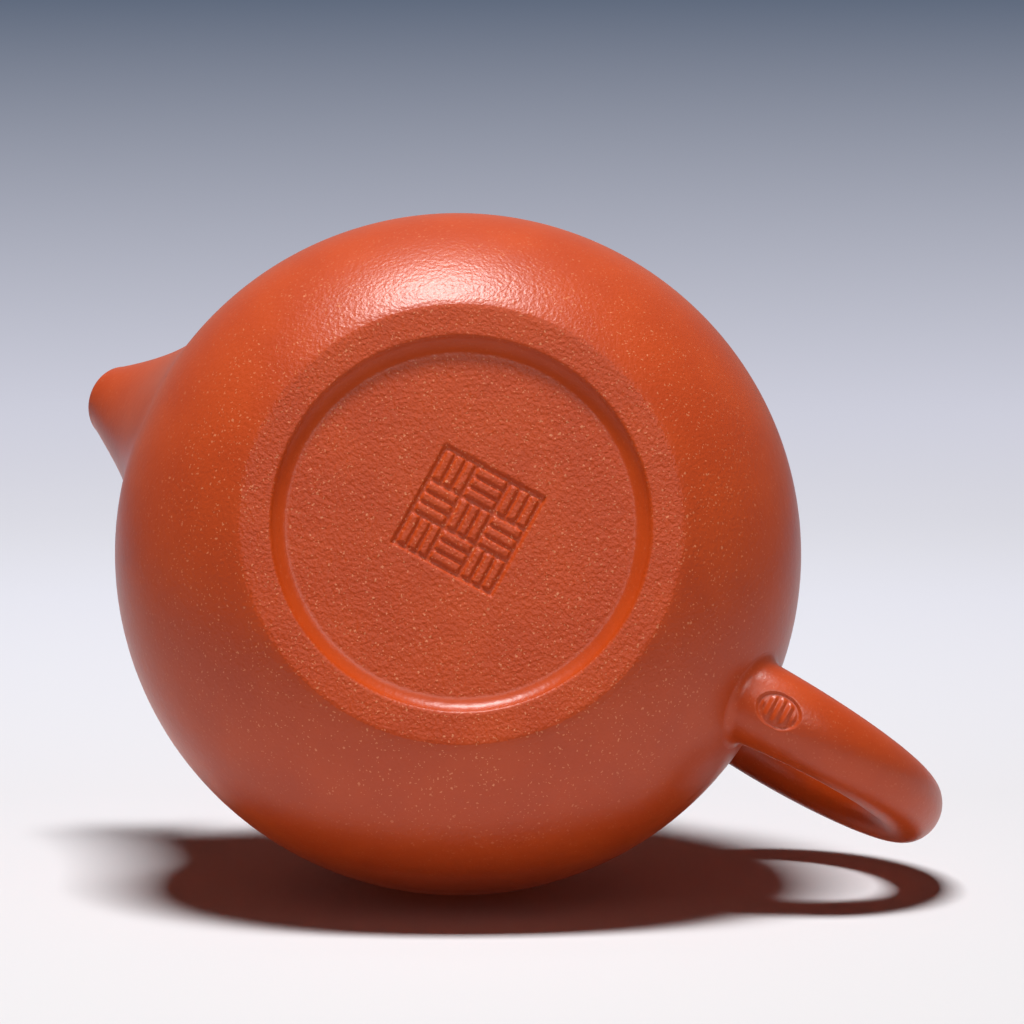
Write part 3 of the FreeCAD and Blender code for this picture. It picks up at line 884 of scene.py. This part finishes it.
@dataclass
class Lid:
    """The lid: domed disc, flange and knob, with a vent through the middle. Sizes in millimetres."""

    form: PotForm
    band: float = 1.2
    rise: float = 8.2
    wall: float = 3.0
    clearance: float = 0.3
    flange_wall: float = 2.4
    flange_depth: float = 6.5
    vent_radius: float = 1.0
    knob_radius: float = 5.6
    knob_lift: float = 4.4
    knob_neck_radius: float = 4.0
    knob_foot_radius: float = 5.2
    knob_neck_round: float = 2.0
    edge_round: float = 0.35
    rim_ease: float = 0.1
    rim_turn: float = 70.0
    rim_inset: float = 1.6
    vent_flare: float = 0.3
    vent_dip: float = 0.25

    @property
    def top(self) -> float:
        """Height of the dome's top."""
        return self.form.mouth_height + self.band + self.rise

    @property
    def dome_radius(self) -> float:
        """Radius of the dome's outside."""
        return (self.form.rim_radius ** 2 + self.rise ** 2) / (2 * self.rise)

    def dome(self, depth: float, outer: float, inner: float, count: int) -> list[Spot]:
        """Return points along the dome, a depth under its outside, between two radii.

        Args:
            depth: Depth under the outside.
            outer: Radius at the first point.
            inner: Radius at the last point.
            count: Number of points.

        Returns:
            Radius and height of each point.
        """
        radius = self.dome_radius - depth
        centre = (0.0, self.top - self.dome_radius)
        ends = [math.degrees(math.acos(across / radius)) for across in (outer, inner)]
        return arc(centre, radius, *ends, count)

    def build(self) -> None:
        """Build and dress the pieces."""
        finish_piece(self.disc(), "lid_disc", Body.LID, BURNISHED)
        finish_piece(self.flange(), "lid_flange", Body.LID, PLAIN)
        finish_piece(self.knob(), "knob", Body.LID, BURNISHED)

    def disc(self) -> bpy.types.Object:
        """Turn the domed disc with a softened rim.

        Returns:
            The disc.
        """
        low = self.form.mouth_height
        rim, soft = self.form.rim_radius, self.edge_round
        depth = self.dome_radius - self.wall
        seat = math.sqrt(depth ** 2 - (low - self.top + self.dome_radius) ** 2)
        points = arc((rim - soft, low + soft), soft, 270, 360, 6)
        points += arc((rim - soft, low + self.band - soft + self.rim_ease), soft, 0, self.rim_turn, 6)
        points += self.dome(0.0, rim - soft * self.rim_inset, self.vent_radius, 60)
        points += self.dome(self.wall, self.vent_radius, seat, 40)
        return turn("lid_dome", points)

    def flange(self) -> bpy.types.Object:
        """Turn the ring under the lid that drops into the mouth.

        Returns:
            The ring.
        """
        outside = self.form.mouth_radius - self.clearance
        inside = outside - self.flange_wall
        low = self.form.mouth_height - self.flange_depth
        soft = self.edge_round
        points = arc((inside + soft, low + soft), soft, 180, 270, 5)
        points += arc((outside - soft, low + soft), soft, 270, 360, 5)
        points += self.dome(self.wall, outside, inside, 8)
        return turn("lid_skirt", points)

    def knob(self) -> bpy.types.Object:
        """Turn the round knob on its neck, with the vent through it.

        Returns:
            The knob.
        """
        centre = (0.0, self.top + self.knob_lift)
        low = -math.degrees(math.acos(self.knob_neck_radius / self.knob_radius))
        high = math.degrees(math.acos((self.vent_radius + self.vent_flare) / self.knob_radius))
        seat = self.dome(0.0, self.knob_foot_radius, self.vent_radius, 10)
        ball = arc(centre, self.knob_radius, low, high, 48)
        neck = self.hollow(seat[0], ball[0], self.knob_neck_round, 12)
        vent = (self.vent_radius, ball[-1][1] - self.vent_dip)
        return turn("lid_knob", neck + ball[1:] + [vent] + seat[::-1], steps=KNOB_STEPS)

    @staticmethod
    def hollow(start: Spot, end: Spot, radius: float, count: int) -> list[Spot]:
        """Return a hollow arc between two points that curves in towards the axis.

        Args:
            start: First point.
            end: Last point.
            radius: Radius of the arc.
            count: Number of points.

        Returns:
            Radius and height of each point.
        """
        middle = ((start[0] + end[0]) / 2, (start[1] + end[1]) / 2)
        half = math.dist(start, end) / 2
        aside = math.sqrt(radius ** 2 - half ** 2)
        step = ((end[1] - start[1]) / (2 * half), (start[0] - end[0]) / (2 * half))
        centre = (middle[0] + aside * step[0], middle[1] + aside * step[1])
        angles = [math.degrees(math.atan2(spot[1] - centre[1], spot[0] - centre[0])) % 360
                  for spot in (start, end)]
        return arc(centre, radius, *angles, count)


@dataclass
class Spout:
    """The hollow stub spout and the strainer behind it. Sizes in millimetres."""

    form: PotForm
    overhang: float = 7.6
    tip_drop: float = 3.0
    slope: float = 46.0
    tip_radius: float = 4.8
    length: float = 34.0
    lip_round: float = 0.9
    bore_radius: float = 2.9
    bore_end: float = 4.9
    bore_length: float = 17.5
    bore_round: float = 0.5
    root_half_width: float = 16.0
    root_low: float = 14.1
    root_high: float = 45.2
    tip_hold: float = 0.449
    tip_spread: float = 0.484
    root_hold: float = 0.174
    rows: int = 48
    tuck: Spot = (1.2, 0.12)
    columns: int = 200

    @property
    def inward(self) -> Vector:
        """Direction of the axis, into the pot."""
        slope = math.radians(self.slope)
        return Vector((0, math.cos(slope), -math.sin(slope)))

    @property
    def rise(self) -> Vector:
        """Direction across the axis, upwards."""
        slope = math.radians(self.slope)
        return Vector((0, math.sin(slope), math.cos(slope)))

    def at(self, distance: float) -> Vector:
        """Return the point of the axis at a distance from the tip."""
        reach = self.form.belly_radius + self.overhang
        return Vector((0, -reach, self.form.mouth_height - self.tip_drop)) + self.inward * distance

    def point(self, distance: float, angle: float, radius: float) -> Vector:
        """Return a point round the axis.

        Args:
            distance: Distance from the tip along the axis.
            angle: Angle round the axis in radians.
            radius: Distance from the axis.

        Returns:
            The point.
        """
        ray = Vector((1, 0, 0)) * math.cos(angle) + self.rise * math.sin(angle)
        return self.at(distance) + ray * radius

    def line(self, angle: float) -> list[Vector]:
        """Return one line of the skin: out of the bore, over the lip and down to the pot.

        Args:
            angle: Angle round the axis in radians.

        Returns:
            Points of the line.
        """
        points = []
        for distance in spread(self.bore_length, self.bore_round, 10):
            radius = self.bore_radius + (self.bore_end - self.bore_radius) * distance / self.length
            points.append(self.point(distance, angle, radius))
        edge = self.bore_round
        for across, along in arc((self.bore_radius + edge, edge), edge, 180, 270, 6)[1:]:
            points.append(self.point(along, angle, across))
        lip = self.lip_round
        for across, along in arc((self.tip_radius - lip, lip), lip, 270, 360, 9)[:-1]:
            points.append(self.point(along, angle, across))
        return points + self.flank(self.point(lip, angle, self.tip_radius), angle)

    def flank(self, start: Vector, angle: float) -> list[Vector]:
        """Return one line of the flank, drawn out of the belly towards the lip.

        Args:
            start: The point under the lip.
            angle: Angle round the axis in radians.

        Returns:
            Points from the lip to just under the pot's outside.
        """
        middle, half = (self.root_high + self.root_low) / 2, (self.root_high - self.root_low) / 2
        heart = self.form.on_skin(0, middle)
        root = self.form.on_skin(self.root_half_width * math.cos(angle), middle + half * math.sin(angle))
        out = self.form.outward(root)
        ahead = (root - heart) - out * (root - heart).dot(out)
        ahead.normalize()
        span = (root - start).length
        aim = self.inward + Vector((self.tip_spread * math.cos(angle), 0, 0))
        pull = (start, start + aim * span * self.tip_hold, root - ahead * span * self.root_hold, root)
        points = []
        for share in spread(0, 1, self.rows):
            rest = 1 - share
            weights = (rest ** 3, 3 * rest ** 2 * share, 3 * rest * share ** 2, share ** 3)
            points.append(sum((spot * weight for spot, weight in zip(pull, weights)), Vector()))
        points.append(root + ahead * self.tuck[0] - out * self.tuck[1])
        return points

    def build(self) -> None:
        """Build and dress the spout, and dress the strainer."""
        lines = [self.line(math.tau * number / self.columns) for number in range(self.columns)]
        rings = list(zip(*lines))
        finish_piece(wrap("spout_stub", rings + rings[:1]), "spout", Body.POT, BURNISHED, crease=SOFT_CREASE)
        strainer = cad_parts["ball_strainer"]
        strainer.data.materials.clear()
        strainer.data.materials.append(PLAIN.material())
        log.info("ball_strainer: dressed")


@dataclass
class Handle:
    """The rolled ear handle with a small oval mark under its lower root. Sizes in millimetres."""

    form: PotForm
    overhang: float = 4.1
    lift: float = 8.3
    depth: float = 17.6
    rise: float = 16.7
    width: float = 8.4
    thickness: float = 7.5
    low_width: float = 10.8
    low_thickness: float = 9.6
    top_width: float = 7.2
    top_thickness: float = 6.4
    root_station: float = 112.0
    low_end: float = -150.0
    top_end: float = 160.0
    bead: float = 1.4
    columns: int = 200
    low_rows: int = 230
    top_rows: int = 80
    mark_spot: Spot = (-0.3, 43.6)
    mark_half: Spot = (2.2, 2.9)
    mark_depth: float = 0.3
    mark_bar: float = 0.55
    mark_edge: Spot = (0.88, 1.0)
    bar_edge: Spot = (0.35, 0.65)
    bar_field: Spot = (0.66, 0.78)
    bar_rise: float = 0.8

    def centre(self, station: float) -> Vector:
        """Return the middle of the roll at a station in degrees.

        Args:
            station: Place along the roll in degrees.

        Returns:
            The middle.
        """
        angle = math.radians(station)
        reach = self.form.belly_radius + self.overhang
        height = self.form.belly_height + self.lift
        return Vector((0, reach + self.depth * math.cos(angle), height + self.rise * math.sin(angle)))

    def point(self, station: float, angle: float) -> Vector:
        """Return a point of the roll at a station in degrees and an angle round it in radians.

        Args:
            station: Place along the roll in degrees.
            angle: Angle round the roll in radians.

        Returns:
            The point.
        """
        share = (station / self.root_station) ** 2
        root = (self.low_width, self.low_thickness) if station < 0 else (self.top_width, self.top_thickness)
        across = self.width + (root[0] - self.width) * share
        through = self.thickness + (root[1] - self.thickness) * share
        swing = math.radians(station)
        out = Vector((0, self.rise * math.cos(swing), self.depth * math.sin(swing))).normalized()
        oval = Vector((across / 2 * math.cos(angle), 0, 0)) + out * (through / 2 * math.sin(angle))
        return self.centre(station) + oval

    def normal(self, station: float, angle: float) -> Vector:
        """Return the outward direction of the roll at a point.

        Args:
            station: Place along the roll in degrees.
            angle: Angle round the roll in radians.

        Returns:
            The direction.
        """
        here = self.point(station, angle)
        along = self.point(station + STATION_STEP, angle) - here
        around = self.point(station, angle + ANGLE_STEP) - here
        out = along.cross(around).normalized()
        return out if out.dot(here - self.centre(station)) > 0 else -out

    def line(self, angle: float) -> list[Vector]:
        """Return one line of the roll, from the lower root to the upper root.

        Args:
            angle: Angle round the roll in radians.

        Returns:
            Points of the line.
        """
        lute = Lute(self.form, self.bead)
        halves = []
        for end, rows in ((self.low_end, self.low_rows), (self.top_end, self.top_rows)):
            halves.append(lute.root(lambda station: self.point(station, angle),
                                    lambda station: self.normal(station, angle), 0.0, end, rows))
        return halves[0][:0:-1] + halves[1]

    def press_mark(self, piece: bpy.types.Object) -> None:
        """Press a small oval with plain bars into the underside of the lower root.

        Args:
            piece: The handle's mesh object.
        """
        middle = self.form.belly_height + self.lift - self.rise
        for vertex in piece.data.vertices:
            spot = vertex.co / MM
            side = (spot.x - self.mark_spot[0]) / self.mark_half[0]
            along = (spot.y - self.mark_spot[1]) / self.mark_half[1]
            rim = math.hypot(side, along)
            if rim > 1 or spot.z > middle:
                continue
            field_depth = 1 - smooth_step(*self.mark_edge, rim)
            beat = abs((spot.y - self.mark_spot[1]) / (2 * self.mark_bar) % 1 - 0.5) * 2
            bar = smooth_step(*self.bar_edge, beat) * (1 - smooth_step(*self.bar_field, rim))
            vertex.co.z += self.mark_depth * field_depth * (1 - self.bar_rise * bar) * MM

    def build(self) -> None:
        """Build and dress the handle."""
        lines = [self.line(math.tau * number / self.columns) for number in range(self.columns)]
        piece = wrap("ear_handle", list(zip(*lines)))
        with editing(piece):
            bpy.ops.mesh.select_all(action="SELECT")
            bpy.ops.mesh.fill_holes(sides=0)
        self.press_mark(piece)
        finish_piece(piece, "handle", Body.POT, BURNISHED, crease=SOFT_CREASE)


# The table's colour by depth along it, in metres from the pot: dark grey in front of the pot, paler and bluer
# behind it. The grading is painted light: it evens out the overhead lamp's falloff and sets how much light
# the table throws back on the pot.
TABLE_PAINTED_FALLOFF = ((-0.25, (0.45, 0.45, 0.46)), (-0.05, (0.78, 0.77, 0.785)), (0.08, (0.76, 0.75, 0.78)),
              (0.25, (0.84, 0.84, 0.92)), (0.45, (0.90, 0.90, 0.97)))
# The far table glows for camera, glossy and transmission rays, by the angle at which the main camera sees it:
# pale grey-blue near the pot, darkening to deep blue-grey towards the horizon. This glow is painted light,
# standing in for the light falling off across the far table; TABLE_FADE is the range of that angle over which
# the lit cloth gives way to it.
FAR_TABLE_PAINTED_GLOW = ((0.036, (0.10, 0.13, 0.19)), (0.138, (0.72, 0.72, 0.82)))
TABLE_FADE = (0.150, 0.118)
SKY_COLOUR = (0.90, 0.89, 0.88)


@dataclass(frozen=True)
class Lamp:
    """A soft lamp.

    Attributes:
        name: Name of the lamp.
        place: Where it hangs, along the table's own directions.
        size: Its width and depth.
        power: Its power in watts.
    """

    name: str
    place: tuple[float, float, float]
    size: Spot
    power: float


KEY = Lamp("key", (-0.037, 0.0, 0.70), (0.24, 0.11), 6.5)
FILL = Lamp("fill", (0.10, -0.60, 0.50), (0.4, 0.4), 2.4)
UNDER = Lamp("under", (0.0, 0.1, -0.7), (0.8, 0.8), 0.5)


@dataclass
class Studio:
    """The table under the pot as it lies, the lamps, the sky and the camera. Places in metres."""

    right: Vector = field(default_factory=lambda: Vector((0.47863, 0.87765, -0.02535)))
    away: Vector = field(default_factory=lambda: Vector((0.27779, -0.12398, 0.95261)))
    up: Vector = field(default_factory=lambda: Vector((0.83292, -0.46299, -0.30315)))
    table_drop: float = 0.0482
    table_size: float = 12.0
    eye_height: float = 0.133
    eye_away: float = 0.594
    camera_place: Vector = field(default_factory=lambda: Vector((-0.091525, 0.039674, -0.59165)))
    camera_up: Vector = field(default_factory=lambda: Vector((0.86347, -0.47574, -0.16762)))
    lens: float = 178.242
    sensor: float = 36.0
    near_clip: float = 0.01
    aim_height: float = 0.025
    sky_light: float = 0.02
    sky_seen: float = 0.35

    def place(self, right: float, away: float, up: float) -> Vector:
        """Return a point given along the table's own directions."""
        return self.right * right + self.away * away + self.up * up

    def build(self) -> None:
        """Set the table, lamps, sky and camera."""
        table = self.table()
        self.lamp(KEY)
        fill = self.lamp(FILL)
        self.lamp(UNDER)
        self.keep_off(fill, table)
        self.sky()
        self.camera()
        bpy.context.scene.view_settings.view_transform = "Standard"

    def table(self) -> bpy.types.Object:
        """Lay the pale table under the pot, seen from above only. Its colour is painted light, graded to even
        out the lamp's falloff, and its far part is a painted glow that darkens towards the horizon.

        Returns:
            The table.
        """
        bpy.ops.object.select_all(action="DESELECT")
        bpy.ops.mesh.primitive_plane_add(size=self.table_size)
        table = bpy.context.object
        table.name = "table"
        turned = Matrix((self.right, self.away, self.up)).transposed().to_4x4()
        table.matrix_world = Matrix.Translation(self.up * -self.table_drop) @ turned
        table.visible_shadow = False
        graph = Graph("table_top")
        place = graph.node("SeparateXYZ", {"Vector": graph.node("TexCoord").outputs["Object"]})
        # Painted light: the cloth's colour is graded along the table to even out the lamp's falloff.
        painted_falloff = self.ramp(graph, place.outputs["Y"], TABLE_PAINTED_FALLOFF)
        cloth = graph.node("BsdfDiffuse", {"Color": painted_falloff})
        # Painted glow: beyond the lit cloth the table glows for camera, glossy and transmission rays, darker
        # the nearer the main camera's line of sight comes to the horizon.
        sight = graph.maths("DIVIDE", self.eye_height, graph.maths("ADD", place.outputs["Y"], self.eye_away))
        painted_glow = graph.node("Emission", {"Color": self.ramp(graph, sight, FAR_TABLE_PAINTED_GLOW)})
        rays = graph.node("LightPath").outputs
        shiny = graph.maths("MAXIMUM", rays["Is Glossy Ray"], rays["Is Transmission Ray"])
        seen = graph.maths("MAXIMUM", rays["Is Camera Ray"], shiny)
        faded = graph.maths("MULTIPLY", graph.ease(sight, *TABLE_FADE), seen)
        spread_out = graph.node("MixShader", {"Fac": faded})
        graph.feed(spread_out.inputs[1], cloth.outputs[0])
        graph.feed(spread_out.inputs[2], painted_glow.outputs[0])
        clear = graph.node("BsdfTransparent")
        behind = graph.maths("MULTIPLY", graph.node("NewGeometry").outputs["Backfacing"], seen)
        mixed = graph.node("MixShader", {"Fac": behind})
        graph.feed(mixed.inputs[1], spread_out.outputs[0])
        graph.feed(mixed.inputs[2], clear.outputs[0])
        graph.feed(graph.output.inputs["Surface"], mixed.outputs[0])
        table.data.materials.append(graph.material)
        log.info("table: laid")
        return table

    @staticmethod
    def ramp(graph: Graph, value: bpy.types.NodeSocket,
             stops: Sequence[tuple[float, Colour]]) -> bpy.types.NodeSocket:
        """Colour a value by stops.

        Args:
            graph: The graph that is wired.
            value: The socket that is read.
            stops: Values and their colours, in order.

        Returns:
            The colour.
        """
        low, high = stops[0][0], stops[-1][0]
        share = graph.node("MapRange", {"Value": value, "From Min": low, "From Max": high})
        made = graph.node("ValToRGB", {"Fac": share.outputs["Result"]})
        elements = made.color_ramp.elements
        while len(elements) < len(stops):
            elements.new(1.0)
        for element, (number, colour) in zip(elements, stops):
            element.position = (number - low) / (high - low)
            element.color = (*colour, 1)
        return made.outputs["Color"]

    @staticmethod
    def keep_off(lamp: bpy.types.Object, thing: bpy.types.Object) -> None:
        """Keep a lamp's light off one thing.

        Args:
            lamp: The lamp.
            thing: The thing that stays unlit by it.
        """
        shaded = bpy.data.collections.new(f"{lamp.name}_shaded")
        shaded.objects.link(thing)
        shaded.collection_objects[0].light_linking.link_state = "EXCLUDE"
        lamp.light_linking.receiver_collection = shaded

    def lamp(self, kind: Lamp) -> bpy.types.Object:
        """Hang a soft lamp that points at the pot.

        Args:
            kind: The lamp's place, size and power.

        Returns:
            The lamp.
        """
        light = bpy.data.lights.new(kind.name, "AREA")
        light.shape = "RECTANGLE"
        light.size, light.size_y = kind.size
        light.energy = kind.power
        lamp = bpy.data.objects.new(kind.name, light)
        place = self.place(*kind.place)
        aim = Vector((0, 0, self.aim_height)) - place
        lamp.rotation_euler = aim.to_track_quat("-Z", "Y").to_euler()
        lamp.location = place
        bpy.context.scene.collection.objects.link(lamp)
        log.info("lamp %s: %.1f W", kind.name, kind.power)
        return lamp

    def sky(self) -> None:
        """Set an even grey sky, weaker as light than it looks."""
        world = bpy.data.worlds.new("sky")
        world.use_nodes = True
        tree = world.node_tree
        back = tree.nodes["Background"]
        back.inputs["Color"].default_value = (*SKY_COLOUR, 1)
        ray = tree.nodes.new("ShaderNodeLightPath")
        level = tree.nodes.new("ShaderNodeMapRange")
        level.inputs["To Min"].default_value = self.sky_light
        level.inputs["To Max"].default_value = self.sky_seen
        seen = ray.outputs["Is Camera Ray"]
        for kind in ("Is Glossy Ray", "Is Transmission Ray"):
            either = tree.nodes.new("ShaderNodeMath")
            either.operation = "MAXIMUM"
            tree.links.new(seen, either.inputs[0])
            tree.links.new(ray.outputs[kind], either.inputs[1])
            seen = either.outputs[0]
        tree.links.new(seen, level.inputs["Value"])
        tree.links.new(level.outputs["Result"], back.inputs["Strength"])
        bpy.context.scene.world = world

    def camera(self) -> None:
        """Set the camera below the pot's base, where the photograph was taken from."""
        lens = bpy.data.cameras.new("camera")
        lens.lens = self.lens
        lens.sensor_width = self.sensor
        lens.clip_start = self.near_clip
        camera = bpy.data.objects.new("camera", lens)
        back = self.right.cross(self.camera_up)
        turned = Matrix((self.right, self.camera_up, back)).transposed().to_4x4()
        camera.matrix_world = Matrix.Translation(self.camera_place) @ turned
        bpy.context.scene.collection.objects.link(camera)
        bpy.context.scene.camera = camera


def main() -> None:
    """Build the teapot's pieces and the studio."""
    logging.basicConfig(level=logging.INFO, format="%(name)s: %(message)s")
    form = PotForm()
    spout = Spout(form)
    Vessel(form).build(spout)
    spout.build()
    Handle(form).build()
    Lid(form).build()
    Studio().build()


if __name__ == "__main__":
    main()
